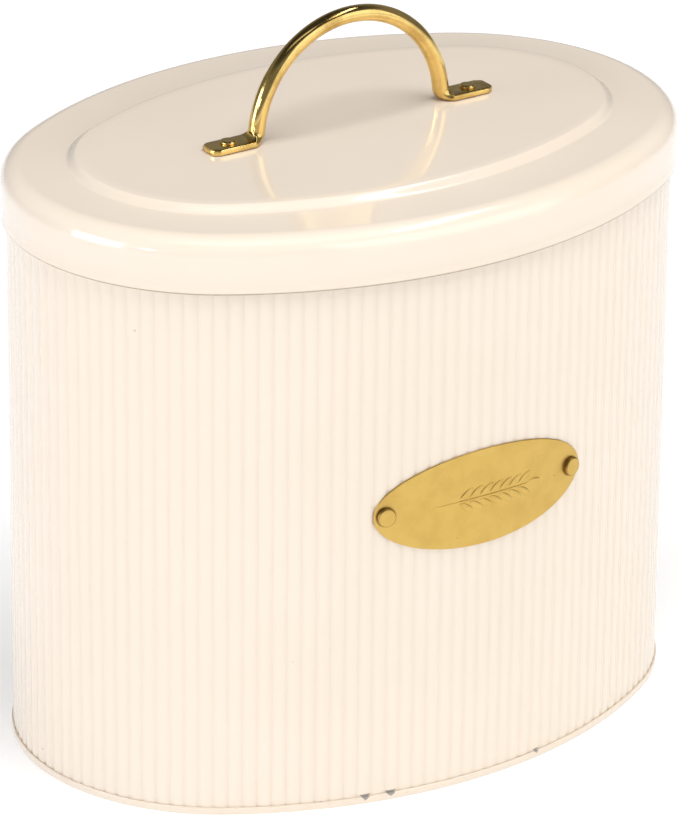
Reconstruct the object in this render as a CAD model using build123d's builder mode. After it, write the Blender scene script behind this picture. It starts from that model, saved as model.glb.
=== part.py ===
"""Oval bread bin of painted sheet steel, with a lift-off lid, a brass handle and a brass label.

The origin is the centre of the base, on the surface that the bin stands on. X runs along the
oval, the label faces -Y and Z points up. Every length is in millimetres.
"""
from build123d import *
from math import asin, atan2, cos, degrees, sin
import os

os.makedirs("parts", exist_ok=True)

# The body's oval, measured over the crests of its flutes
body_half_length = 157.5
body_half_width = 111.3
body_end_radius = 93.0

# Sheet metal
sheet = 0.6
flute_count = 134
flute_depth = 0.55
flute_top = 252.5

# Base pan and the seam that folds it round the foot of the wall
seam_height = 3.3
seam_clearance = 0.2
seam_inner_gap = 1.4
floor_height = 2.9
seam_edge_radius = 0.4

# Rolled rim at the top of the wall, and the lapped joint down its back
rim_height = 264.85
rim_curl_radius = 1.4
rim_curl_inset = 0.4
lap_width = 6.4
lap_proud = 0.6
lap_block_depth = 5.0
lap_bottom = 3.6

# Lid
lid_gap = 2.5
lid_bottom = 246.2
lid_top = 271.1
lid_shoulder_radius = 9.0
lid_hem_height = 4.5
panel_half_length = 130.0
panel_half_width = 80.4
panel_end_radius = 64.0
panel_step = 3.2
panel_slope = 45
panel_top = lid_top + panel_step

# Handle: a round bar bent to a half circle, its ends flattened to feet, set a little to the right
handle_offset = 3.0
handle_radius = 49.0
handle_rise = 0.5
handle_bar_radius = 3.75
foot_inner_end = 44.5
foot_outer_end = 74.3
foot_width = 12.4
foot_thickness = 3.0
foot_corner = 3.6
handle_rivet_reach = 63.5

# Rivets and washers
handle_shank_radius = 2.0
handle_head_radius = 3.6
handle_head_height = 1.5
handle_tail_radius = 3.4
handle_tail_height = 1.3
washer_radius = 5.5
washer_thickness = 0.8
label_shank_radius = 1.5
label_head_radius = 4.3
label_head_height = 1.9
label_tail_radius = 2.8
label_tail_height = 1.0
hole_clearance = 0.05
crown_reach = 0.65
crown_rise = 0.8

# Label
label_half_length = 54.4
label_half_height = 22.5
label_height = 137.3
label_gap = 0.05
label_thickness = 0.8
label_rivet_reach = 48.9
wall_hole_depth = 4.0
relief_reach = 12.0
relief_height = 0.5

# Wheat ear raised on the label: pairs of grains along a stem, one grain at the tip
stem_half_length = 26.0
stem_thickness = 1.1
grain_pairs = 7
grain_pitch = 5.2
grain_length = 8.0
grain_thickness = 2.9
grain_lean = 34
grain_offset = 3.1


def body_oval(grow):
    """Half length, half width and end radius of the body's oval moved outwards by grow."""
    return body_half_length + grow, body_half_width + grow, body_end_radius + grow


def side_radius(half_length, half_width, end_radius):
    """Radius of the long front and back arcs that join the two end arcs smoothly."""
    spare = half_length**2 + half_width**2 - 2 * half_length * end_radius
    return spare / (2 * (half_width - end_radius))


def oval_line(half_length, half_width, end_radius):
    """Closed line of four tangent arcs, anticlockwise from the right-hand end."""
    long_radius = side_radius(half_length, half_width, end_radius)
    end_centre = half_length - end_radius
    side_centre = long_radius - half_width
    turn = degrees(atan2(side_centre, end_centre))
    with BuildLine() as line:
        CenterArc((end_centre, 0), end_radius, -turn, 2 * turn)
        CenterArc((0, -side_centre), long_radius, turn, 180 - 2 * turn)
        CenterArc((-end_centre, 0), end_radius, 180 - turn, 2 * turn)
        CenterArc((0, side_centre), long_radius, 180 + turn, 180 - 2 * turn)
    return line.wire()


class Oval(BaseSketchObject):
    """Flat oval of four tangent arcs."""

    def __init__(self, half_length, half_width, end_radius, mode=Mode.ADD):
        face = Face(oval_line(half_length, half_width, end_radius))
        super().__init__(obj=face, mode=mode)


class FlutedOval(BaseSketchObject):
    """The body's oval with a row of convex flutes for its edge, moved in by inset."""

    def __init__(self, inset, mode=Mode.ADD):
        crests = oval_line(*body_oval(0))

        def edge_point(share, depth):
            inwards = (crests % share).rotate(Axis.Z, 90)
            return crests @ share + inwards * depth

        with BuildSketch() as outline:
            with BuildLine():
                for flute in range(flute_count):
                    ThreePointArc(
                        edge_point(flute / flute_count, inset + flute_depth),
                        edge_point((flute + 0.5) / flute_count, inset),
                        edge_point((flute + 1) % flute_count / flute_count, inset + flute_depth),
                    )
            make_face()
        super().__init__(obj=outline.sketch, mode=mode)


def ring(bottom, top, outer, inner):
    """Upright oval band between two offsets of the body's oval."""
    with BuildPart() as band:
        with BuildSketch(Plane.XY.offset(bottom)):
            Oval(*body_oval(outer))
            Oval(*body_oval(inner), mode=Mode.SUBTRACT)
        extrude(amount=top - bottom)
    return band.part


def lid_block(inset):
    """Solid with the lid's outer form, its top and sides moved in by inset."""
    with BuildPart() as block:
        with BuildSketch(Plane.XY.offset(lid_bottom)):
            Oval(*body_oval(lid_gap - inset))
        extrude(amount=lid_top - inset - lid_bottom)
        fillet(block.faces().sort_by(Axis.Z)[-1].edges(), lid_shoulder_radius - inset)
        with BuildSketch(Plane.XY.offset(lid_top - inset)):
            Oval(panel_half_length - inset, panel_half_width - inset, panel_end_radius - inset)
        extrude(amount=panel_step, taper=panel_slope)
    return block.part


def rivet(seat, shank_radius, grip, head_radius, head_height, tail_radius, tail_height):
    """Rivet with its head on the seat plane and its shank running back through the grip."""
    tail_end = -grip - tail_height
    with BuildPart() as piece:
        with BuildSketch(Plane(seat.origin, x_dir=seat.x_dir, z_dir=-seat.y_dir)):
            with BuildLine():
                ThreePointArc(
                    (0, head_height),
                    (head_radius * crown_reach, head_height * crown_rise),
                    (head_radius, 0),
                )
                Polyline(
                    (head_radius, 0), (shank_radius, 0), (shank_radius, -grip),
                    (tail_radius, -grip), (tail_radius - tail_height / 2, tail_end),
                    (0, tail_end), (0, head_height),
                )
            make_face()
        revolve(axis=Axis(seat.origin, seat.z_dir))
    return piece.part


def upright_oval(half_length, half_height, depth):
    """Elliptical bar that runs through the front wall at the label's height."""
    with BuildPart() as bar:
        with BuildSketch(Plane.XZ.offset(body_half_width - depth)):
            with Locations((0, label_height)):
                Ellipse(half_length, half_height)
        extrude(amount=2 * depth)
    return bar.part


def wall_plane(reach, height, proud):
    """Plane that lies proud of the front wall, reach along X from its middle, facing out."""
    long_radius = side_radius(*body_oval(0))
    turn = asin(reach / long_radius)
    out = Vector(sin(turn), -cos(turn), 0)
    centre = Vector(0, long_radius - body_half_width, height)
    return Plane(centre + out * (long_radius + proud), x_dir=(cos(turn), sin(turn), 0), z_dir=out)


def save(piece, name):
    """Label a finished piece and write it as its own node."""
    piece.part.label = name
    export_step(piece.part, f"parts/{name}.step")


sides = {"left": -1, "right": 1}
handle_rivet_middles = {
    side: handle_offset + sign * handle_rivet_reach for side, sign in sides.items()
}
label_rivet_planes = {
    side: wall_plane(sign * label_rivet_reach, label_height, label_gap + label_thickness)
    for side, sign in sides.items()
}

# Base pan: a floor sheet whose edge drops to the ground and folds up round the wall's foot
hem_outer = seam_clearance + sheet
hem_inner = -seam_inner_gap - sheet
with BuildPart() as base_pan:
    add(ring(0, seam_height, hem_outer, seam_clearance))
    add(ring(0, sheet, hem_outer, hem_inner))
    add(ring(0, floor_height + sheet, -seam_inner_gap, hem_inner))
    with BuildSketch(Plane.XY.offset(floor_height)):
        Oval(*body_oval(-seam_inner_gap))
    extrude(amount=sheet)
    foot_edge = base_pan.faces().sort_by(Axis.Z)[0].outer_wire().edges()
    fillet(foot_edge, seam_edge_radius)
save(base_pan, "base_pan")

# Wall: one fluted sheet with a plain neck, a curl rolled outwards and a lapped joint at the back
neck_inner = -2 * sheet
with BuildPart() as body_wall:
    with BuildSketch(Plane.XY.offset(sheet)):
        FlutedOval(0)
        FlutedOval(sheet, mode=Mode.SUBTRACT)
    extrude(amount=flute_top - sheet)
    add(ring(flute_top, rim_height, -sheet, neck_inner))
    rim_line = oval_line(*body_oval(-rim_curl_inset)).moved(Location((0, 0, rim_height)))
    with BuildSketch(Plane(rim_line @ 0, z_dir=rim_line % 0)):
        Circle(rim_curl_radius)
    sweep(path=rim_line)
    with BuildSketch(Plane.XY.offset(lap_bottom)):
        with Locations((0, body_half_width)):
            Rectangle(lap_width, lap_block_depth)
        Oval(*body_oval(lap_proud), mode=Mode.INTERSECT)
        Oval(*body_oval(lap_proud - 3 * sheet), mode=Mode.SUBTRACT)
    extrude(amount=flute_top - lap_bottom)
    for plane in label_rivet_planes.values():
        with Locations(plane):
            Hole(label_shank_radius + hole_clearance, depth=wall_hole_depth)
save(body_wall, "body_wall")

# Lid: a drawn shell with a raised panel, its lower edge folded inwards to a hem
with BuildPart() as lid_shell:
    add(lid_block(0))
    add(lid_block(sheet), mode=Mode.SUBTRACT)
    hem_edge = lid_gap - sheet
    add(ring(lid_bottom, lid_bottom + lid_hem_height, hem_edge, hem_edge - sheet))
    for middle in handle_rivet_middles.values():
        with Locations((middle, 0, panel_top)):
            Hole(handle_shank_radius + hole_clearance, depth=2 * sheet)
save(lid_shell, "lid_shell")

# Handle: a round bar bent over the panel, flattened at both ends
with BuildPart() as handle:
    arch_start = handle_offset - handle_radius
    arch_end = handle_offset + handle_radius
    with BuildLine(Plane.XZ) as bar_line:
        Line((arch_start, panel_top), (arch_start, panel_top + handle_rise))
        CenterArc((handle_offset, panel_top + handle_rise), handle_radius, 180, -180)
        Line((arch_end, panel_top + handle_rise), (arch_end, panel_top))
    with BuildSketch(Plane.XY.offset(panel_top)):
        with Locations((arch_start, 0)):
            Circle(handle_bar_radius)
    sweep()
    for side, sign in sides.items():
        foot_middle = handle_offset + sign * (foot_inner_end + foot_outer_end) / 2
        with BuildSketch(Plane.XY.offset(panel_top)) as foot:
            with Locations((foot_middle, 0)):
                Rectangle(foot_outer_end - foot_inner_end, foot_width)
            ends = foot.vertices().group_by(Axis.X)
            chamfer(ends[-1] if sign > 0 else ends[0], foot_corner)
            fillet(foot.vertices().group_by(Axis.X)[0 if sign > 0 else -1], foot_corner)
        extrude(amount=foot_thickness)
        with Locations((handle_rivet_middles[side], 0, panel_top + foot_thickness)):
            Hole(handle_shank_radius + hole_clearance, depth=foot_thickness)
save(handle, "handle")

# Handle rivets, each over a washer that spreads its pull on the thin lid
handle_grip = foot_thickness + sheet + washer_thickness
for side, middle in handle_rivet_middles.items():
    with BuildPart() as handle_washer:
        with BuildSketch(Plane.XY.offset(panel_top - sheet - washer_thickness)):
            with Locations((middle, 0)):
                Circle(washer_radius)
                Circle(handle_shank_radius + hole_clearance, mode=Mode.SUBTRACT)
        extrude(amount=washer_thickness)
    save(handle_washer, f"handle_washer_{side}")

    with BuildPart() as handle_rivet:
        seat = Plane.XY.shift_origin((middle, 0, 0)).offset(panel_top + foot_thickness)
        add(rivet(seat, handle_shank_radius, handle_grip, handle_head_radius,
                  handle_head_height, handle_tail_radius, handle_tail_height))
    save(handle_rivet, f"handle_rivet_{side}")

# Label: an oval plate curved to the front wall, with a wheat ear raised in its middle
with BuildPart() as wheat_ear:
    with BuildSketch(Plane.XZ.offset(body_half_width - sheet)):
        with Locations((0, label_height)):
            SlotOverall(2 * stem_half_length, stem_thickness)
            for pair in range(grain_pairs):
                along = stem_half_length - grain_pitch * (pair + 1)
                with Locations((along, grain_offset)):
                    Ellipse(grain_length / 2, grain_thickness / 2, rotation=grain_lean)
                with Locations((along, -grain_offset)):
                    Ellipse(grain_length / 2, grain_thickness / 2, rotation=-grain_lean)
            with Locations((stem_half_length, 0)):
                Ellipse(grain_length / 2, grain_thickness / 2)
    extrude(amount=2 * relief_reach)
    label_face = label_gap + label_thickness
    add(ring(0, lid_bottom, label_face + relief_height, label_gap), mode=Mode.INTERSECT)

with BuildPart() as label_plate:
    add(ring(0, lid_bottom, label_face, label_gap))
    add(upright_oval(label_half_length, label_half_height, relief_reach), mode=Mode.INTERSECT)
    add(wheat_ear.part)
    for plane in label_rivet_planes.values():
        with Locations(plane):
            Hole(label_shank_radius + hole_clearance, depth=2 * label_thickness)
save(label_plate, "label_plate")

label_grip = label_gap + label_thickness + sheet + flute_depth
for side, plane in label_rivet_planes.items():
    with BuildPart() as label_rivet:
        add(rivet(plane, label_shank_radius, label_grip, label_head_radius,
                  label_head_height, label_tail_radius, label_tail_height))
    save(label_rivet, f"label_rivet_{side}")
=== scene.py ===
"""Looks of an oval bread bin: a fluted cream tin, a hemmed lid, a brass bar handle and a brass label."""
import math
import bmesh
import bpy
from mathutils import Matrix, Vector


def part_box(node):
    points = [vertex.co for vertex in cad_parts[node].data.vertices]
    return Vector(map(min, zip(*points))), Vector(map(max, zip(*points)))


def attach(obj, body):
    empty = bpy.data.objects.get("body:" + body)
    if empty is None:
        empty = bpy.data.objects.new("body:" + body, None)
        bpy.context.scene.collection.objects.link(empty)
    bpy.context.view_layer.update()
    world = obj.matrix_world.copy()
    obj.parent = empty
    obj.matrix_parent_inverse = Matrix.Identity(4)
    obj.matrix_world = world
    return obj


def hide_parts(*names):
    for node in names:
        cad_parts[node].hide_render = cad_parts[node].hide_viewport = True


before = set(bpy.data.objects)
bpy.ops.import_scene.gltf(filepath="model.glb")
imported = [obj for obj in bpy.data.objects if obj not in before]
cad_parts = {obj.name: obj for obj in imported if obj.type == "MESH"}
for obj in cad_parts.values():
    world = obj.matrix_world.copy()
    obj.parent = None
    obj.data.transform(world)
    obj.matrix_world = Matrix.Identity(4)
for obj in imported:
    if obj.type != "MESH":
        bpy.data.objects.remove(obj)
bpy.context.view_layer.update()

MM = 0.001
SEAM_CLOSING = 0.001 * MM     # points nearer than this are joined where a sheet meets itself
ROUNDING_GUARD = 0.001        # keeps a whole number whole when its fraction is dropped

# ---------------------------------------------------------------- sizes, in metres

wall_low, wall_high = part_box("body_wall")
pan_low, pan_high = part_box("base_pan")
lid_low, lid_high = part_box("lid_shell")
handle_low, handle_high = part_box("handle")
label_low, label_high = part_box("label_plate")

SHEET = 0.6 * MM
END_RADIUS = 93 * MM
SEAM_PROUD = 0.8 * MM    # how far the base seam stands outside the flutes
BODY_OVAL = (pan_high.x - SEAM_PROUD, -pan_low.y - SEAM_PROUD, END_RADIUS)
PANEL_OVAL = (130 * MM, 80.4 * MM, 64 * MM)

FLUTE_COUNT = 134
FLUTE_DEPTH = 0.55 * MM
FLUTE_TOP = 252.5 * MM
FLUTE_FADE = 2.5 * MM
FLUTE_FULLNESS = 2.4     # 2 is a plain arc, and more makes a broader crest and a narrower valley
LAP_HALF_WIDTH = 3.4 * MM
LAP_PROUD = 0.6 * MM
LAP_EDGE = 0.6 * MM
SEAM_HEIGHT = 3.3 * MM
FLOOR_HEIGHT = 2.9 * MM
CURL_RADIUS = 1.4 * MM
CURL_INSET = 0.4 * MM

LID_GAP = lid_high.x - BODY_OVAL[0]
PANEL_TOP = lid_high.z
PANEL_STEP = 3.2 * MM
PANEL_SLOPE = 5 * MM       # how far the step runs inwards as it rises
LID_TOP = PANEL_TOP - PANEL_STEP
SHOULDER_RADIUS = 9 * MM
HEM_HEIGHT = 4.5 * MM

BAR_RADIUS = 3.75 * MM
HANDLE_MIDDLE = (handle_low.x + handle_high.x) / 2
ARCH_RADIUS = 49 * MM
ARCH_RISE = 0.5 * MM
HEEL_RADIUS = 5 * MM
FOOT_HALF_WIDTH = 6.2 * MM
FOOT_HALF_THICKNESS = 1.5 * MM

LABEL_HALF_HEIGHT = (label_high.z - label_low.z) / 2
LABEL_HEIGHT = (label_high.z + label_low.z) / 2
LABEL_THICKNESS = 0.8 * MM
LABEL_GAP = 0.05 * MM
LABEL_RIVET_REACH = 48.9 * MM
LABEL_ROLL = 0.35 * MM
LABEL_RIVET_HEAD = 4.3 * MM
HANDLE_RIVET_HEAD = 3.6 * MM
HANDLE_RIVET_TAIL = 1.3 * MM
HEM_ROLL = 0.25 * MM
HEM_BEAD = 0.05 * MM      # how far the pressed line above the hem swells
SEAM_ROLL = 0.5 * MM

TIP_CLIP = 3.2 * MM      # how far back from its tip a foot's corners are cut
TIP_ROUND = 0.7 * MM

# Finishes
PAINT_LIGHT = (0.875, 0.76, 0.635, 1)
PAINT_DEEP = (0.865, 0.745, 0.615, 1)
# painted shade colour for the flute valleys
PAINTED_VALLEY_SHADE = (0.76, 0.62, 0.47, 1)
# painted shadow colour for the lid's bottom edge
FOLD_SHADE = (0.30, 0.21, 0.12, 1)
DUST = (0.45, 0.36, 0.27, 1)
BARE_STEEL = (0.36, 0.33, 0.30, 1)
BRASS_BRIGHT = (0.82, 0.585, 0.205, 1)
BRASS_TARNISHED = (0.54, 0.36, 0.11, 1)
LABEL_LIGHT = (0.64, 0.43, 0.12, 1)
LABEL_DEEP = (0.58, 0.38, 0.10, 1)
# dark specks on the label, and the painted shade round the rivet heads
LABEL_SPECK_AND_SHADE = (0.35, 0.22, 0.07, 1)

# Bare spots knocked out of the seam's paint: the lowest point of each, and its half width
CHIPS = [
    ((-56.5 * MM, -104.8 * MM, 1.5 * MM), 2.6 * MM),
    ((-45.0 * MM, -107.6 * MM, 1.6 * MM), 2.8 * MM),
    ((32.5 * MM, -109.9 * MM, 2.1 * MM), 2.0 * MM),
]
CHIP_TOP = 4.1 * MM

LIGHT_AIM = (0, 0, 0.15)
FLOOR_REACH = 12
FLOOR_GLOW = 0.42
WALL_GLOW = 0.22
CEILING_GLOW = 0.04

CAMERA_AZIMUTH = -34.5
CAMERA_ELEVATION = 23.75
CAMERA_ROLL = 0.58
CAMERA_DISTANCE = 2.6
CAMERA_LENS = 255
CAMERA_TARGET = (0, 0, 0.13)
CAMERA_AIM_UP = 6.09 * MM
CAMERA_AIM_RIGHT = -0.48 * MM

# wheat ear on the label: a stem, pairs of grains that lean outwards, and a grain at the tip
STEM_HALF_LENGTH = 26 * MM
STEM_HALF_THICKNESS = 0.55 * MM
GRAIN_PAIRS = 7
GRAIN_PITCH = 5.2 * MM
GRAIN_OFFSET = 3.1 * MM
GRAIN_LEAN = 34
RELIEF_HEIGHT = 0.5 * MM
GRAIN_HALF = (4.0 * MM, 1.45 * MM, RELIEF_HEIGHT)


def side_radius(half_length, half_width, end_radius):
    """Radius of the long arcs that join an oval's two end arcs smoothly."""
    spare = half_length**2 + half_width**2 - 2 * half_length * end_radius
    return spare / (2 * (half_width - end_radius))


# ---------------------------------------------------------------- node trees

class Socket:
    """An output in a node tree. Arithmetic on it adds Math nodes to the same tree."""

    def __init__(self, bench, out):
        self.bench, self.out = bench, out

    def maths(self, operation, *terms):
        return self.bench.node("ShaderNodeMath", {"operation": operation}, dict(enumerate(terms)))

    def __add__(self, other):
        return self.maths("ADD", self, other)

    def __radd__(self, other):
        return self.maths("ADD", other, self)

    def __sub__(self, other):
        return self.maths("SUBTRACT", self, other)

    def __rsub__(self, other):
        return self.maths("SUBTRACT", other, self)

    def __mul__(self, other):
        return self.maths("MULTIPLY", self, other)

    def __rmul__(self, other):
        return self.maths("MULTIPLY", other, self)

    def __truediv__(self, other):
        return self.maths("DIVIDE", self, other)

    def __pow__(self, other):
        return self.maths("POWER", self, other)

    def __mod__(self, other):
        return self.maths("FLOORED_MODULO", self, other)

    def __neg__(self):
        return self.maths("MULTIPLY", self, -1.0)

    def __abs__(self):
        return self.maths("ABSOLUTE", self)

    def __lt__(self, other):
        return self.maths("LESS_THAN", self, other)

    def __gt__(self, other):
        return self.maths("GREATER_THAN", self, other)

    def floor(self):
        return self.maths("FLOOR", self)

    def sin(self):
        return self.maths("SINE", self)

    def cos(self):
        return self.maths("COSINE", self)

    def sqrt(self):
        return self.maths("SQRT", self)

    def least(self, other):
        return self.maths("MINIMUM", self, other)

    def most(self, other):
        return self.maths("MAXIMUM", self, other)

    def where(self, yes, no):
        return self * (yes - no) + no

    def ease(self, start, end):
        """0 below start, 1 above end and smooth between."""
        return self.bench.node(
            "ShaderNodeMapRange", {"interpolation_type": "SMOOTHSTEP"},
            {"Value": self, "From Min": start, "From Max": end},
        )

    def __getitem__(self, name):
        """Another output of the same node."""
        return Socket(self.bench, self.out.node.outputs[name])


class Bench:
    """Adds nodes to one tree."""

    def __init__(self, tree):
        self.tree = tree

    def node(self, kind, settings=None, sockets=None):
        """New node with its settings made first, then its sockets filled; gives its first output."""
        node = self.tree.nodes.new(kind)
        for name, value in (settings or {}).items():
            setattr(node, name, value)
        for name, value in (sockets or {}).items():
            socket = node.inputs[name]
            if isinstance(value, Socket):
                self.tree.links.new(value.out, socket)
            else:
                socket.default_value = value
        shown = [out for out in node.outputs if out.enabled]
        return Socket(self, shown[0]) if shown else node

    def split(self, vector):
        parts = self.node("ShaderNodeSeparateXYZ", {}, {0: vector})
        return parts["X"], parts["Y"], parts["Z"]

    def mix(self, factor, first, second):
        """Mix of two colours."""
        first_port, second_port, outcome = 6, 7, 2    # the colour ports of a Mix node
        node = self.tree.nodes.new("ShaderNodeMix")
        node.data_type = "RGBA"
        for port, value in ((0, factor), (first_port, first), (second_port, second)):
            if isinstance(value, Socket):
                self.tree.links.new(value.out, node.inputs[port])
            else:
                node.inputs[port].default_value = value
        return Socket(self, node.outputs[outcome])


class GeometryBench(Bench):
    """Bench for a Geometry Nodes tree with named size inputs."""

    def __init__(self, name, sizes):
        super().__init__(bpy.data.node_groups.new(name, "GeometryNodeTree"))
        face = self.tree.interface
        face.new_socket("Geometry", in_out="INPUT", socket_type="NodeSocketGeometry")
        face.new_socket("Geometry", in_out="OUTPUT", socket_type="NodeSocketGeometry")
        for size, value in sizes.items():
            kind = "NodeSocketInt" if isinstance(value, int) else "NodeSocketFloat"
            face.new_socket(size, in_out="INPUT", socket_type=kind)
        self.sizes = sizes
        self.base = self.node("NodeGroupInput")
        self.size = {size: self.base[size] for size in sizes}

    def joined(self, x, y, z):
        return self.node("ShaderNodeCombineXYZ", {}, {0: x, 1: y, 2: z})

    def sheet_of_points(self, columns, rows):
        """Grid mesh with its column and row numbers as fields."""
        grid = self.node("GeometryNodeMeshGrid", {}, {"Vertices X": columns, "Vertices Y": rows})
        index = self.node("GeometryNodeInputIndex")
        column = (index / rows + ROUNDING_GUARD).floor()
        return grid, column, index - column * rows

    def place(self, geometry, position):
        return self.node("GeometryNodeSetPosition", {}, {"Geometry": geometry, "Position": position})

    def finish(self, geometry, material):
        """Closes seams, smooths, gives the material and ends the tree."""
        merged = self.node(
            "GeometryNodeMergeByDistance", {}, {"Geometry": geometry, "Distance": SEAM_CLOSING})
        smooth = self.node("GeometryNodeSetShadeSmooth", {}, {"Geometry": merged})
        real = self.node("GeometryNodeRealizeInstances", {}, {"Geometry": smooth})
        painted = self.node("GeometryNodeSetMaterial", {}, {"Geometry": real, "Material": material})
        self.node("NodeGroupOutput", {}, {"Geometry": painted})

    def make(self, name, base=None, crease=40):
        """Runs the tree on a base mesh and keeps the outcome as a plain mesh object."""
        piece = bpy.data.objects.new(name, base or bpy.data.meshes.new(name))
        bpy.context.scene.collection.objects.link(piece)
        modifier = piece.modifiers.new("making", "NODES")
        modifier.node_group = self.tree
        for item in self.tree.interface.items_tree:
            if item.in_out == "INPUT" and item.name in self.sizes:
                modifier[item.identifier] = self.sizes[item.name]
        made = piece.evaluated_get(bpy.context.evaluated_depsgraph_get())
        mesh = bpy.data.meshes.new_from_object(made)
        piece.modifiers.clear()
        piece.data = mesh
        mesh.name = name
        turned = bmesh.new()
        turned.from_mesh(mesh)
        bmesh.ops.recalc_face_normals(turned, faces=turned.faces)
        turned.to_mesh(mesh)
        turned.free()
        mesh.set_sharp_from_angle(angle=math.radians(crease))
        return piece


def section(name, stations):
    """Mesh of loose points that holds a section in order, from the inside round to the outside.

    A station is (out, up), (out, up, shrink) or (out, up, shrink, panel): how far it lies outside
    the oval, its height, its scale towards the middle, and how much it follows the panel's oval.
    """
    full = [station + (1.0, 0.0)[len(station) - 2:] for station in stations]
    mesh = bpy.data.meshes.new(name)
    mesh.from_pydata([(out, shrink, up) for out, up, shrink, panel in full], [], [])
    follows = mesh.attributes.new("panel", "FLOAT", "POINT")
    follows.data.foreach_set("value", [station[3] for station in full])
    return mesh


def arc(centre, radius, start, end, steps):
    """Points of a section's arc, with its angles in degrees from straight out."""
    turns = [math.radians(start + (end - start) * step / steps) for step in range(steps + 1)]
    return [(centre[0] + radius * math.cos(t), centre[1] + radius * math.sin(t)) for t in turns]


def round_the_oval(bench, share, half_length, half_width, end_radius, out):
    """Place beside an oval at a share of the way round it, anticlockwise from its right-hand end."""
    long_radius = side_radius(half_length, half_width, end_radius)
    end_centre = half_length - end_radius
    side_centre = long_radius - half_width
    turn = side_centre.maths("ARCTAN2", side_centre, end_centre)
    end_arc = end_radius * turn
    side_arc = long_radius * (math.pi / 2 - turn)
    quarter = share * 4
    number = (quarter + 1e-5).floor()
    within = quarter - number
    along = (number % 2).where(1 - within, within) * (end_arc + side_arc)
    on_end = along < end_arc
    angle = on_end.where(along / end_radius, turn + (along - end_arc) / long_radius)
    radius = on_end.where(end_radius, long_radius) + out
    x = on_end.where(end_centre, 0) + radius * angle.cos()
    y = radius * angle.sin() - on_end.where(0, side_centre)
    left = (number > 0.5) * (number < 2.5)
    front = (number > 1.5) * (number < 3.5)
    return x * (1 - 2 * left), y * (1 - 2 * front)


def sheet_round_oval(name, stations, columns, material, oval=BODY_OVAL, flutes=0, **more):
    """Sheet-metal piece: a section carried round the body's oval, fluted below FLUTE_TOP if asked."""
    sizes = {
        "Half length": oval[0], "Half width": oval[1], "End radius": oval[2],
        "Panel half length": PANEL_OVAL[0], "Panel half width": PANEL_OVAL[1],
        "Panel end radius": PANEL_OVAL[2],
        "Columns": columns, "Rows": len(stations), "Flutes": float(flutes),
        "Flute depth": FLUTE_DEPTH if flutes else 0.0, "Flute top": FLUTE_TOP,
        "Lap half width": LAP_HALF_WIDTH if flutes else -1.0, "Lap proud": LAP_PROUD,
    }
    bench = GeometryBench(name, sizes)
    size = bench.size
    grid, column, row = bench.sheet_of_points(size["Columns"] + 1, size["Rows"])
    share = column / size["Columns"]

    def of_section(kind, value):
        return bench.node(
            "GeometryNodeSampleIndex", {"data_type": kind},
            {"Geometry": bench.base, "Value": value, "Index": row},
        )

    out, shrink, up = bench.split(of_section("FLOAT_VECTOR", bench.node("GeometryNodeInputPosition")))
    panel = of_section("FLOAT", bench.node(
        "GeometryNodeInputNamedAttribute", {"data_type": "FLOAT"}, {"Name": "panel"}))

    half = [size["Half length"], size["Half width"], size["End radius"]]
    off_crest = abs((share * size["Flutes"]) % 1 - 0.5) * 2
    fluted = 1 - up.ease(size["Flute top"] - FLUTE_FADE, size["Flute top"])
    valley = off_crest ** FLUTE_FULLNESS * fluted
    way_round = 2 * math.pi * (size["Half length"] + size["Half width"]) / 2
    at_lap = 1 - (abs(share - 0.25) * way_round).ease(
        size["Lap half width"] - LAP_EDGE, size["Lap half width"])
    stands = (out > -SHEET / 2).where(size["Lap proud"], -size["Lap proud"])
    moved = (at_lap * fluted).where(stands, -(valley * size["Flute depth"]))
    x, y = round_the_oval(bench, share, *half, out + moved)
    inner = [size["Panel half length"], size["Panel half width"], size["Panel end radius"]]
    panel_x, panel_y = round_the_oval(bench, share, *inner, out)
    x, y = panel.where(panel_x, x) * shrink, panel.where(panel_y, y) * shrink

    shaped = bench.place(grid, bench.joined(x, y, up))
    noted = bench.node(
        "GeometryNodeStoreNamedAttribute", {"data_type": "FLOAT", "domain": "POINT"},
        {"Geometry": shaped, "Name": "valley", "Value": valley * (1 - at_lap)},
    )
    bench.finish(noted, material)
    return bench.make(name, section(name + "_section", stations), **more)


# ---------------------------------------------------------------- wall, base pan and lid

def make_wall(paint):
    """Fluted wall with its plain neck and the curl rolled at the top."""
    curl_centre = (-CURL_INSET, wall_high.z - CURL_RADIUS)
    foot = wall_low.z
    heights = [foot + (FLUTE_TOP - FLUTE_FADE - foot) * step / 8 for step in range(9)]
    stations = [(0, up) for up in heights]
    stations += [(0, FLUTE_TOP - FLUTE_FADE * 0.5), (-SHEET * 0.4, FLUTE_TOP), (-SHEET, FLUTE_TOP + SHEET)]
    stations += arc(curl_centre, CURL_RADIUS, -98, 235, 20)
    stations += [(-2 * SHEET, FLUTE_TOP + SHEET), (-SHEET * 1.4, FLUTE_TOP)]
    stations += [(-SHEET, FLUTE_TOP - FLUTE_FADE * 0.5)]
    stations += [(-SHEET, up) for up in reversed(heights)]
    stations.append(stations[0])
    return sheet_round_oval("fluted_wall", stations, 1340, paint, flutes=FLUTE_COUNT, crease=50)


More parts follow.
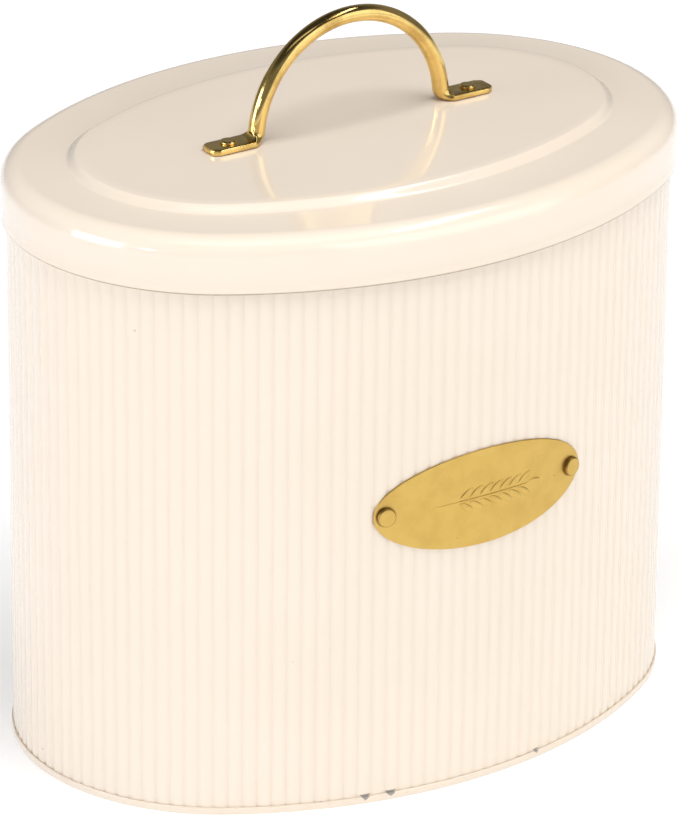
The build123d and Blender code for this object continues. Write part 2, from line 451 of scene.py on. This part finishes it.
def make_pan(paint):
    """Base pan: its floor and the seam folded round the foot of the wall.

    The seam's rolled top leans into the flutes' crests by a fifth of a millimetre, to leave no gap."""
    outside = SEAM_PROUD
    inside = -1.4 * MM
    roll = 0.5 * MM
    stations = [(inside - SHEET, FLOOR_HEIGHT, shrink) for shrink in (0.0, 0.5, 0.97)]
    stations += arc((inside - SHEET - roll, FLOOR_HEIGHT - roll), roll, 90, 0, 4)
    stations += [(inside - SHEET, roll)]
    stations += arc((inside - SHEET + roll, roll), roll, 180, 270, 4)
    stations += arc((outside - roll, roll), roll, -90, 0, 6)
    stations += arc((outside - SEAM_ROLL, SEAM_HEIGHT - SEAM_ROLL), SEAM_ROLL, 0, 180, 10)
    stations += [(outside - SHEET, SHEET), (inside, SHEET), (inside, FLOOR_HEIGHT + SHEET)]
    stations += [(inside, FLOOR_HEIGHT + SHEET, shrink) for shrink in (0.97, 0.5, 0.0)]
    return sheet_round_oval("base_pan_and_seam", stations, 640, paint)


def panel_rise(height, lower):
    """Stations of the smooth step from the lid's flat ring up to its panel."""
    steps = 14
    stations = []
    for step in range(steps + 1):
        share = step / steps
        up = height + PANEL_STEP * (share * share * (3 - 2 * share))
        stations.append((PANEL_SLOPE * (0.4 - share) - lower, up, 1.0, 1.0))
    return stations


def make_lid(paint):
    """Drawn lid: raised panel, round shoulder, and a skirt with its edge folded in."""
    edge = lid_low.z
    centre = (LID_GAP - SHOULDER_RADIUS, LID_TOP - SHOULDER_RADIUS)
    bead = HEM_BEAD
    under = [(-PANEL_SLOPE, PANEL_TOP - SHEET, shrink, 1.0) for shrink in (0.0, 0.35, 0.7, 0.97)]
    under += list(reversed(panel_rise(LID_TOP - SHEET, SHEET * 0.4)))
    under += arc(centre, SHOULDER_RADIUS - SHEET, 90, 0, 14)
    hem = [(LID_GAP - SHEET, edge + HEM_HEIGHT), (LID_GAP - 1.2 * SHEET, edge + HEM_HEIGHT)]
    hem += arc((LID_GAP - 2 * SHEET + HEM_ROLL, edge + HEM_HEIGHT - HEM_ROLL), HEM_ROLL, 90, 180, 3)
    hem += arc((LID_GAP - SHEET + bead / 2, edge + SHEET), SHEET + bead / 2, 180, 360, 12)
    skirt = [
        (LID_GAP + bead, edge + 1.6 * MM), (LID_GAP + bead * 0.6, edge + 2.4 * MM),
        (LID_GAP - bead, edge + 3.1 * MM), (LID_GAP - bead * 0.4, edge + 3.7 * MM),
        (LID_GAP, edge + 4.6 * MM), (LID_GAP, edge + 9 * MM),
    ]
    top = arc(centre, SHOULDER_RADIUS, 0, 90, 18)
    top += panel_rise(LID_TOP, 0.0)
    top += [(-PANEL_SLOPE, PANEL_TOP, shrink, 1.0) for shrink in (0.97, 0.7, 0.35, 0.0)]
    return sheet_round_oval("lid_pressing", under + hem + skirt + top, 640, paint)


# ---------------------------------------------------------------- handle

def make_handle(brass):
    """Round bar bent to an arch, turned outwards at the heels and flattened into two feet."""
    foot_height = FOOT_HALF_THICKNESS - ARCH_RISE
    spread = ARCH_RADIUS + HEEL_RADIUS
    heel_turn = math.acos((foot_height + HEEL_RADIUS) / spread)
    arch_length = ARCH_RADIUS * heel_turn
    heel_length = HEEL_RADIUS * heel_turn
    foot_start = spread * math.sin(heel_turn)
    foot_length = handle_high.x - HANDLE_MIDDLE - foot_start
    sizes = {
        "Bar radius": BAR_RADIUS, "Arch radius": ARCH_RADIUS, "Heel radius": HEEL_RADIUS,
        "Foot half width": FOOT_HALF_WIDTH, "Foot half thickness": FOOT_HALF_THICKNESS,
        "Arch length": arch_length, "Heel length": heel_length, "Foot length": foot_length,
        "Around": 48, "Along": 321,
    }
    bench = GeometryBench("bar_handle", sizes)
    size = bench.size
    grid, ring, point = bench.sheet_of_points(size["Along"], size["Around"] + 1)
    whole = size["Arch length"] + size["Heel length"] + size["Foot length"]
    share = ring / (size["Along"] - 1) * 2 - 1
    right = (share > 0) * 2 - 1
    way = abs(share) * whole
    past_arch = way - size["Arch length"]
    past_heel = past_arch - size["Heel length"]
    on_arch = past_arch < 0
    on_heel = (past_heel < 0) * (1 - on_arch)
    arch_heading = way / size["Arch radius"]
    heel_heading = heel_turn - past_arch / size["Heel radius"]
    heading = on_arch.where(arch_heading, on_heel.where(heel_heading, 0.0))
    heel_x = spread * math.sin(heel_turn)
    heel_z = spread * math.cos(heel_turn)
    bend = on_arch.where(size["Arch radius"], -size["Heel radius"])
    x = heading.sin() * bend + on_arch.where(0, heel_x) + (past_heel > 0).where(past_heel, 0)
    z = heading.cos() * bend + on_arch.where(0, heel_z)

    flat = way.ease(arch_length + heel_length * 0.12, arch_length + heel_length * 0.95)
    to_tip = whole - way
    corner = (to_tip / TIP_CLIP).least(1)
    half_width = flat.where(size["Foot half width"], size["Bar radius"]) * (0.66 + 0.34 * corner)
    half_thick = flat.where(size["Foot half thickness"], size["Bar radius"])
    end = (1 - (1 - (to_tip / TIP_ROUND).least(1)) ** 2).most(0).sqrt()
    turn = (point % size["Around"]) / size["Around"] * (2 * math.pi)
    squareness = 1 - 0.62 * flat
    across = turn.cos().maths("SIGN", turn.cos()) * abs(turn.cos()) ** squareness
    upright = turn.sin().maths("SIGN", turn.sin()) * abs(turn.sin()) ** squareness
    side = across * half_width * (0.86 + 0.14 * end) * (end > 0.02)
    lift = upright * half_thick * end
    placed = bench.joined(
        right * (x + lift * heading.sin()) + HANDLE_MIDDLE, side,
        z + lift * heading.cos() + PANEL_TOP + ARCH_RISE)
    bench.finish(bench.place(grid, placed), brass)
    return bench.make("brass_bar_handle", crease=55)


# ---------------------------------------------------------------- rivets and washers

def turned_pair(name, stations, seats, material, around=48, crease=35):
    """Two like pieces turned from one section: (radius, height) stations set on two seats.

    A seat is the point under the head's centre and the direction that the head faces.
    """
    bench = GeometryBench(name, {"Around": around, "Rows": len(stations)})
    grid, column, row = bench.sheet_of_points(bench.size["Around"] + 1, bench.size["Rows"])
    point = bench.node(
        "GeometryNodeSampleIndex", {"data_type": "FLOAT_VECTOR"},
        {"Geometry": bench.base, "Value": bench.node("GeometryNodeInputPosition"), "Index": row},
    )
    radius, _, height = bench.split(point)
    turn = column / bench.size["Around"] * (2 * math.pi)
    turned = bench.place(grid, bench.joined(radius * turn.cos(), radius * turn.sin(), height))
    pair = bench.node("GeometryNodeJoinGeometry")
    for centre, outward in seats:
        facing = Vector(outward).to_track_quat("Z", "Y").to_euler()
        seated = bench.node(
            "GeometryNodeTransform", {},
            {"Geometry": turned, "Translation": centre, "Rotation": facing},
        )
        bench.tree.links.new(seated.out, pair.out.node.inputs["Geometry"])
    bench.finish(pair, material)
    mesh = bpy.data.meshes.new(name + "_section")
    mesh.from_pydata([(radius, 0.0, height) for radius, height in stations], [], [])
    return bench.make(name, mesh, crease=crease)


def rivet_section(shank, grip, head, head_height, edge, tail, tail_height):
    """Section of a set rivet: flat-topped round head, shank, and the tail spread behind."""
    stations = [(0.0, -grip - tail_height), (tail * 0.5, -grip - tail_height * 0.96)]
    stations += [(tail * 0.85, -grip - tail_height * 0.6), (tail, -grip - tail_height * 0.15), (tail, -grip)]
    stations += [(shank, -grip), (shank, 0.0), (head - 0.05 * MM, 0.0), (head, 0.1 * MM)]
    stations += arc((head - edge, head_height - edge), edge, 0, 78, 7)
    crown = head - edge
    for share in (0.75, 0.5, 0.25, 0.0):
        stations.append((crown * share, head_height + 0.06 * MM * (1 - share * share)))
    return stations


def middles_of(name):
    """Places along X of a left and a right node."""
    boxes = [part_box(name + side) for side in ("_left", "_right")]
    return [(low.x + high.x) / 2 for low, high in boxes]


def make_handle_rivets(brass):
    seat_height = PANEL_TOP + 2 * FOOT_HALF_THICKNESS
    low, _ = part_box("handle_rivet_right")
    stations = rivet_section(
        shank=2 * MM, grip=seat_height - low.z - HANDLE_RIVET_TAIL, head=HANDLE_RIVET_HEAD,
        head_height=1.3 * MM, edge=0.8 * MM, tail=3.4 * MM, tail_height=HANDLE_RIVET_TAIL)
    seats = [((middle, 0, seat_height), (0, 0, 1)) for middle in middles_of("handle_rivet")]
    return turned_pair("handle_rivets", stations, seats, brass)


def make_washers(steel):
    low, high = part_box("handle_washer_right")
    outer, inner, thick, roll = (high.x - low.x) / 2, 2.05 * MM, high.z - low.z, 0.15 * MM
    stations = [(inner, roll), (inner + roll, 0.0), (outer - roll, 0.0), (outer, roll)]
    stations += [(outer, thick - roll), (outer - roll, thick), (inner + roll, thick), (inner, thick - roll)]
    stations.append(stations[0])
    seats = [((middle, 0, low.z), (0, 0, 1)) for middle in middles_of("handle_washer")]
    return turned_pair("handle_washers", stations, seats, steel)


# ---------------------------------------------------------------- label

def wall_seat(along, up, out):
    """Point on the curved front, and the direction it faces."""
    long_radius = side_radius(*BODY_OVAL)
    turn = math.asin(along / long_radius)
    facing = Vector((math.sin(turn), -math.cos(turn), 0))
    centre = Vector((0, long_radius - BODY_OVAL[1], up))
    return tuple(centre + facing * (long_radius + out)), tuple(facing)


def make_label_rivets(brass):
    out = LABEL_GAP + LABEL_THICKNESS
    grip = out + SHEET + FLUTE_DEPTH
    stations = rivet_section(
        shank=1.5 * MM, grip=grip, head=LABEL_RIVET_HEAD, head_height=1.9 * MM,
        edge=0.7 * MM, tail=2.8 * MM, tail_height=1.0 * MM)
    seats = [wall_seat(sign * LABEL_RIVET_REACH, LABEL_HEIGHT, out) for sign in (-1, 1)]
    return turned_pair("label_rivets", stations, seats, brass)


def make_label(brass):
    """Oval label with a rolled edge and a wheat ear pressed out of it, curved to the wall."""
    roll = LABEL_ROLL
    stations = [(-roll, 0.0, shrink) for shrink in (0.0, 0.5, 1.0)]
    stations += arc((-roll, roll), roll, -90, 0, 4)
    stations += arc((-roll, LABEL_THICKNESS - roll), roll, 0, 90, 5)
    stations += [(-1.4 * MM, LABEL_THICKNESS, 1 - step / 24) for step in range(25)]
    face_radius = side_radius(*BODY_OVAL) + LABEL_GAP + LABEL_THICKNESS
    sizes = {
        "Half length": face_radius * math.asin(label_high.x / face_radius),
        "Half height": LABEL_HALF_HEIGHT,
        "Columns": 320, "Rows": len(stations), "Wall radius": side_radius(*BODY_OVAL),
        "Grains": GRAIN_PAIRS * 2 + 1, "Grain pitch": GRAIN_PITCH, "Stem half length": STEM_HALF_LENGTH,
    }
    bench = GeometryBench("label", sizes)
    size = bench.size
    grid, column, row = bench.sheet_of_points(size["Columns"] + 1, size["Rows"])
    point = bench.node(
        "GeometryNodeSampleIndex", {"data_type": "FLOAT_VECTOR"},
        {"Geometry": bench.base, "Value": bench.node("GeometryNodeInputPosition"), "Index": row},
    )
    out, shrink, up = bench.split(point)
    turn = column / size["Columns"] * (2 * math.pi)
    along = (size["Half length"] + out) * shrink * turn.cos()
    tall = (size["Half height"] + out) * shrink * turn.sin()
    plate = bench.place(grid, bench.joined(along, tall, up))

    number = bench.node("GeometryNodeInputIndex")
    pair = ((number + 1) / 2).floor()
    upper = (number % 2) * 2 - 1
    tip = number < 0.5
    grains = bench.node("GeometryNodePoints", {}, {
        "Count": size["Grains"],
        "Position": bench.joined(
            size["Stem half length"] - size["Grain pitch"] * pair,
            tip.where(0, upper * GRAIN_OFFSET), LABEL_THICKNESS),
    })
    grain = bench.node("GeometryNodeMeshUVSphere", {}, {"Segments": 28, "Rings": 16, "Radius": 1.0})
    sown = bench.node("GeometryNodeInstanceOnPoints", {}, {
        "Points": grains, "Instance": grain,
        "Rotation": bench.joined(0, 0, tip.where(0, upper * math.radians(GRAIN_LEAN))),
        "Scale": GRAIN_HALF,
    })
    stem = bench.node("GeometryNodeTransform", {}, {
        "Geometry": bench.node("GeometryNodeMeshUVSphere", {}, {"Segments": 40, "Rings": 24, "Radius": 1.0}),
        "Translation": (0, 0, LABEL_THICKNESS),
        "Scale": (STEM_HALF_LENGTH, STEM_HALF_THICKNESS, RELIEF_HEIGHT * 0.9),
    })
    flat = bench.node("GeometryNodeJoinGeometry")
    for part in (plate, bench.node("GeometryNodeRealizeInstances", {}, {"Geometry": sown}), stem):
        bench.tree.links.new(part.out, flat.out.node.inputs["Geometry"])

    across, tall, proud = bench.split(bench.node("GeometryNodeInputPosition"))
    bend = across / size["Wall radius"]
    reach = size["Wall radius"] + LABEL_GAP + proud
    bent = bench.joined(
        reach * bend.sin(), side_radius(*BODY_OVAL) - BODY_OVAL[1] - reach * bend.cos(),
        tall + LABEL_HEIGHT)
    bench.finish(bench.place(flat, bent), brass)
    return bench.make("brass_label", section("label_section", stations), crease=30)


# ---------------------------------------------------------------- finishes

def finish_bench(name):
    """New material with an empty tree, and its Object coordinates."""
    material = bpy.data.materials.new(name)
    material.use_nodes = True
    material.node_tree.nodes.clear()
    bench = Bench(material.node_tree)
    return material, bench, bench.node("ShaderNodeTexCoord")["Object"]


def noise(bench, place, size, detail=2.0, roughness=0.5, stretch=(1, 1, 1)):
    """Noise whose lumps are about as wide as size, from 0 to 1 and near 0.5."""
    scale = tuple(1 / (size * part) for part in stretch)
    scaled = bench.node("ShaderNodeVectorMath", {"operation": "MULTIPLY"}, {0: place, 1: scale})
    return bench.node(
        "ShaderNodeTexNoise", {},
        {"Vector": scaled, "Scale": 1.0, "Detail": detail, "Roughness": roughness},
    )


def relief(bench, height, depth, below=None):
    """Bumps depth metres high from a height field, over any bumps below."""
    sockets = {"Height": height, "Distance": depth, "Strength": 1.0}
    if below is not None:
        sockets["Normal"] = below
    return bench.node("ShaderNodeBump", {}, sockets)


def near(bench, place, spot, stretch=(1, 1, 1)):
    """Distance from a spot, in metres."""
    away = bench.node("ShaderNodeVectorMath", {"operation": "SUBTRACT"}, {0: place, 1: spot})
    scaled = bench.node("ShaderNodeVectorMath", {"operation": "MULTIPLY"}, {0: away, 1: stretch})
    return bench.node("ShaderNodeVectorMath", {"operation": "LENGTH"}, {0: scaled})["Value"]


def surface(bench, sockets):
    """Ends a material's tree with one Principled shader."""
    shader = bench.node("ShaderNodeBsdfPrincipled", {}, sockets)
    bench.node("ShaderNodeOutputMaterial", {}, {"Surface": shader})


def cream_paint(name, fold=None):
    """Glossy stoved paint on steel: slightly uneven, with painted shade darkening the flute valleys, chipped
    at the foot.

    A fold height paints a brown band of shadow along the lid's bottom edge, standing in for the shade in the
    gap under the hem."""
    material, bench, place = finish_bench(name)
    cloud = noise(bench, place, 90 * MM, 3)
    tint = bench.mix(cloud.ease(0.3, 0.7), PAINT_LIGHT, PAINT_DEEP)
    valley = bench.node("ShaderNodeAttribute", {"attribute_name": "valley"})["Fac"]
    # painted shade: the flute valleys are tinted darker to stand in for the shade that falls in them
    tint = bench.mix(valley * 0.2, tint, PAINTED_VALLEY_SHADE)
    _, _, up = bench.split(place)
    if fold is not None:
        # painted shadow: darkens the lowest millimetre of the lid to stand in for the shade in the gap under
        # the hem
        tint = bench.mix((1 - up.ease(fold + 0.3 * MM, fold + 1.0 * MM)) * 0.9, tint, FOLD_SHADE)

    speck = bench.node("ShaderNodeTexVoronoi", {}, {"Vector": place, "Scale": 1 / (26 * MM)})
    dust = (1 - speck.ease(0.012, 0.03)) * noise(bench, place, 70 * MM).ease(0.5, 0.62)
    tint = bench.mix(dust * 0.6, tint, DUST)

    ragged = (noise(bench, place, 1.3 * MM, 3) - 0.5) * 1.6 * MM
    bare = None
    for spot, size in CHIPS:
        reach = (up - spot[2]) * (size / (CHIP_TOP - spot[2]))
        beside = near(bench, place, spot, (1, 1, 0)) - reach + ragged
        chip = (1 - beside.ease(0, 0.35 * MM)) * (1 - up.ease(CHIP_TOP, CHIP_TOP + 0.2 * MM))
        bare = chip if bare is None else bare.most(chip)
    edge = (1 - abs(up - 2.9 * MM).ease(0.3 * MM, 0.7 * MM))
    scuff = noise(bench, place, 2.2 * MM, 2).ease(0.70, 0.73) * noise(bench, place, 30 * MM).ease(0.55, 0.6)
    bare = bare.most(scuff * edge)
    tint = bench.mix(bare, tint, BARE_STEEL)

    peel = relief(bench, noise(bench, place, 3.2 * MM, 1), 0.008 * MM)
    waves = relief(bench, noise(bench, place, 24 * MM, 2), 0.05 * MM, peel)
    chipped = relief(bench, 1 - bare, 0.12 * MM, waves)
    surface(bench, {
        "Base Color": tint,
        "Roughness": bare.where(0.5, noise(bench, place, 40 * MM).ease(0.2, 0.8) * 0.06 + 0.2),
        "Metallic": bare * 0.2,
        "Coat Weight": (1 - bare) * 0.9,
        "Coat Roughness": 0.025, "Coat IOR": 1.5, "IOR": 1.5,
        "Normal": chipped,
    })
    return material


def polished_brass():
    """Polished and lacquered bar: fine rubbing marks and faint brown tarnish."""
    material, bench, place = finish_bench("polished_brass_bar")
    tarnish = noise(bench, place, 14 * MM, 4, 0.6).ease(0.42, 0.72)
    tint = bench.mix(tarnish, BRASS_BRIGHT, BRASS_TARNISHED)
    marks = noise(bench, place, 0.7 * MM, 2, 0.5, (3, 1, 3))
    pits = noise(bench, place, 1.6 * MM, 2).ease(0.68, 0.75)
    surface(bench, {
        "Base Color": tint, "Metallic": 1.0,
        "Roughness": 0.09 + tarnish * 0.09 + marks * 0.05 + pits * 0.15,
        "Normal": relief(bench, marks + noise(bench, place, 9 * MM, 1) * 3, 0.008 * MM),
    })
    return material


def satin_brass():
    """Pressed label sheet: satin gold lacquer, faintly mottled, with a few dark specks and a painted shade
    ring round each rivet head.
    """
    material, bench, place = finish_bench("satin_brass_label")
    mottle = noise(bench, place, 11 * MM, 4, 0.6).ease(0.35, 0.7)
    tint = bench.mix(mottle * 0.7, LABEL_LIGHT, LABEL_DEEP)
    spots = noise(bench, place, 1.5 * MM, 2).ease(0.73, 0.78)
    tint = bench.mix(spots * 0.55, tint, LABEL_SPECK_AND_SHADE)
    # painted shade: a dark ring round the base of each rivet head stands in for the shadow in the gap around
    # it
    for side in (-1, 1):
        seat, _ = wall_seat(side * LABEL_RIVET_REACH, LABEL_HEIGHT, LABEL_GAP + LABEL_THICKNESS)
        away = near(bench, place, seat)
        outer = LABEL_RIVET_HEAD + 0.2 * MM
        past_head = away.ease(LABEL_RIVET_HEAD - 0.2 * MM, LABEL_RIVET_HEAD)
        painted_head_shade = past_head * (1 - away.ease(outer, outer + 0.5 * MM))
        tint = bench.mix(painted_head_shade * 0.8, tint, LABEL_SPECK_AND_SHADE)
    grain = noise(bench, place, 0.5 * MM, 2, 0.5, (5, 5, 1))
    dents = relief(bench, noise(bench, place, 16 * MM, 2), 0.25 * MM)
    surface(bench, {
        "Base Color": tint, "Metallic": 1.0,
        "Roughness": 0.3 + mottle * 0.10 + spots * 0.2 + grain * 0.05,
        "Normal": relief(bench, grain, 0.004 * MM, dents),
    })
    return material


def plated_steel():
    """Zinc-plated steel with a fine spangle."""
    material, bench, place = finish_bench("zinc_plated_steel")
    spangle = bench.node("ShaderNodeTexVoronoi", {}, {"Vector": place, "Scale": 1 / (2 * MM)})["Distance"]
    tint = bench.mix(spangle, (0.62, 0.63, 0.64, 1), (0.45, 0.46, 0.47, 1))
    surface(bench, {
        "Base Color": tint, "Metallic": 1.0, "Roughness": 0.3 + spangle * 0.15,
        "Normal": relief(bench, noise(bench, place, 0.6 * MM, 2), 0.01 * MM),
    })
    return material


# ---------------------------------------------------------------- the bin

paint = cream_paint("glossy_cream_paint")
lid_paint = cream_paint("glossy_cream_lid_paint", fold=lid_low.z)
bar_brass = polished_brass()
label_brass = satin_brass()
steel = plated_steel()

pieces = [
    (make_wall(paint), "bin", "cream_paint", ["body_wall"]),
    (make_pan(paint), "bin", "cream_paint", ["base_pan"]),
    (make_label(label_brass), "bin", "satin_brass", ["label_plate"]),
    (make_label_rivets(label_brass), "bin", "satin_brass", ["label_rivet_left", "label_rivet_right"]),
    (make_lid(lid_paint), "lid", "cream_paint", ["lid_shell"]),
    (make_handle(bar_brass), "lid", "polished_brass", ["handle"]),
    (make_handle_rivets(bar_brass), "lid", "polished_brass", ["handle_rivet_left", "handle_rivet_right"]),
    (make_washers(steel), "lid", "plated_steel", ["handle_washer_left", "handle_washer_right"]),
]
for piece, body, slot, nodes in pieces:
    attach(piece, body)
    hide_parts(*nodes)


# ---------------------------------------------------------------- studio

def direction(azimuth, elevation):
    """Unit vector from the bin, with the azimuth in degrees from the front towards the right."""
    turn, rise = math.radians(azimuth), math.radians(elevation)
    level = math.cos(rise)
    return Vector((math.sin(turn) * level, -math.cos(turn) * level, math.sin(rise)))


def soft_light(name, azimuth, elevation, distance, size, power, mirrored=True, colour=(1, 1, 1)):
    """Area light in a direction from the bin's middle, aimed at it. Unless mirrored, it lights
    without showing in glossy surfaces."""
    back = direction(azimuth, elevation)
    lamp = bpy.data.lights.new(name, "AREA")
    lamp.shape = "RECTANGLE"
    lamp.size, lamp.size_y = size
    lamp.energy = power
    lamp.color = colour
    holder = bpy.data.objects.new(name, lamp)
    holder.location = Vector(LIGHT_AIM) + back * distance
    holder.visible_glossy = mirrored
    holder.rotation_mode = "QUATERNION"
    holder.rotation_quaternion = back.to_track_quat("Z", "Y")
    bpy.context.scene.collection.objects.link(holder)


def make_floor():
    """Plain pale floor that gives off a little light, more of it further from the bin."""
    material, bench, place = finish_bench("pale_floor")
    far = near(bench, place, (0, 0, 0)).ease(0.3, 0.9)
    surface(bench, {
        "Base Color": bench.mix(noise(bench, place, 0.4), (0.79, 0.79, 0.79, 1), (0.81, 0.81, 0.81, 1)),
        "Roughness": 0.9, "Specular IOR Level": 0.1,
        "Emission Color": bench.mix(far, (0.72, 0.72, 0.72, 1), (1, 1, 1, 1)),
        "Emission Strength": FLOOR_GLOW,
    })
    mesh = bpy.data.meshes.new("floor")
    corners = [(-1, -1), (1, -1), (1, 1), (-1, 1)]
    mesh.from_pydata([(x * FLOOR_REACH, y * FLOOR_REACH, 0) for x, y in corners], [], [(0, 1, 2, 3)])
    mesh.materials.append(material)
    floor = bpy.data.objects.new("floor", mesh)
    bpy.context.scene.collection.objects.link(floor)


def make_camera():
    """Camera above the left front corner, far enough back to keep the uprights nearly parallel."""
    turn, roll = math.radians(CAMERA_AZIMUTH), math.radians(CAMERA_ROLL)
    back = direction(CAMERA_AZIMUTH, CAMERA_ELEVATION)
    right = Vector((math.cos(turn), math.sin(turn), 0))
    above = back.cross(right)
    x_axis = right * math.cos(roll) + above * math.sin(roll)
    y_axis = above * math.cos(roll) - right * math.sin(roll)
    lens = bpy.data.cameras.new("camera")
    lens.lens, lens.sensor_width = CAMERA_LENS, 36
    lens.clip_start, lens.clip_end = 0.1, 60
    camera = bpy.data.objects.new("camera", lens)
    camera.rotation_mode = "QUATERNION"
    camera.rotation_quaternion = Matrix((x_axis, y_axis, back)).transposed().to_quaternion()
    aim = Vector(CAMERA_TARGET) + y_axis * CAMERA_AIM_UP + x_axis * CAMERA_AIM_RIGHT
    camera.location = aim + back * CAMERA_DISTANCE
    bpy.context.scene.collection.objects.link(camera)
    bpy.context.scene.camera = camera


def make_world():
    """Studio round the bin: grey walls at eye height, darker overhead."""
    world = bpy.data.worlds.new("studio")
    world.use_nodes = True
    world.node_tree.nodes.clear()
    bench = Bench(world.node_tree)
    facing = bench.node("ShaderNodeTexCoord")["Generated"]
    _, _, up = bench.split(facing)
    glow = (1 - up.ease(0.45, 0.8)) * (WALL_GLOW - CEILING_GLOW) + CEILING_GLOW
    shader = bench.node("ShaderNodeBackground", {}, {"Color": (1, 1, 1, 1), "Strength": glow})
    bench.node("ShaderNodeOutputWorld", {}, {"Surface": shader})
    bpy.context.scene.world = world


make_floor()
make_camera()
make_world()
soft_light("key_softbox", -10, 77, 2.6, (1.8, 1.8), 57, mirrored=False)
soft_light("overhead_card", -40, 68, 2.6, (1.6, 0.5), 2)
soft_light("left_softbox", -98, 12, 3.2, (1.6, 1.5), 34, colour=(0.96, 1.0, 1.09))
soft_light("middle_softbox", -38, 22, 3.2, (0.9, 0.9), 4, mirrored=False)
soft_light("right_softbox", 24, 20, 3.2, (3.4, 2.2), 30)
soft_light("right_strip", 66, 64, 2.6, (1.7, 0.28), 8)
soft_light("left_strip", -70, 14, 2.6, (0.3, 0.2), 3)
bpy.context.scene.view_settings.view_transform = "Standard"
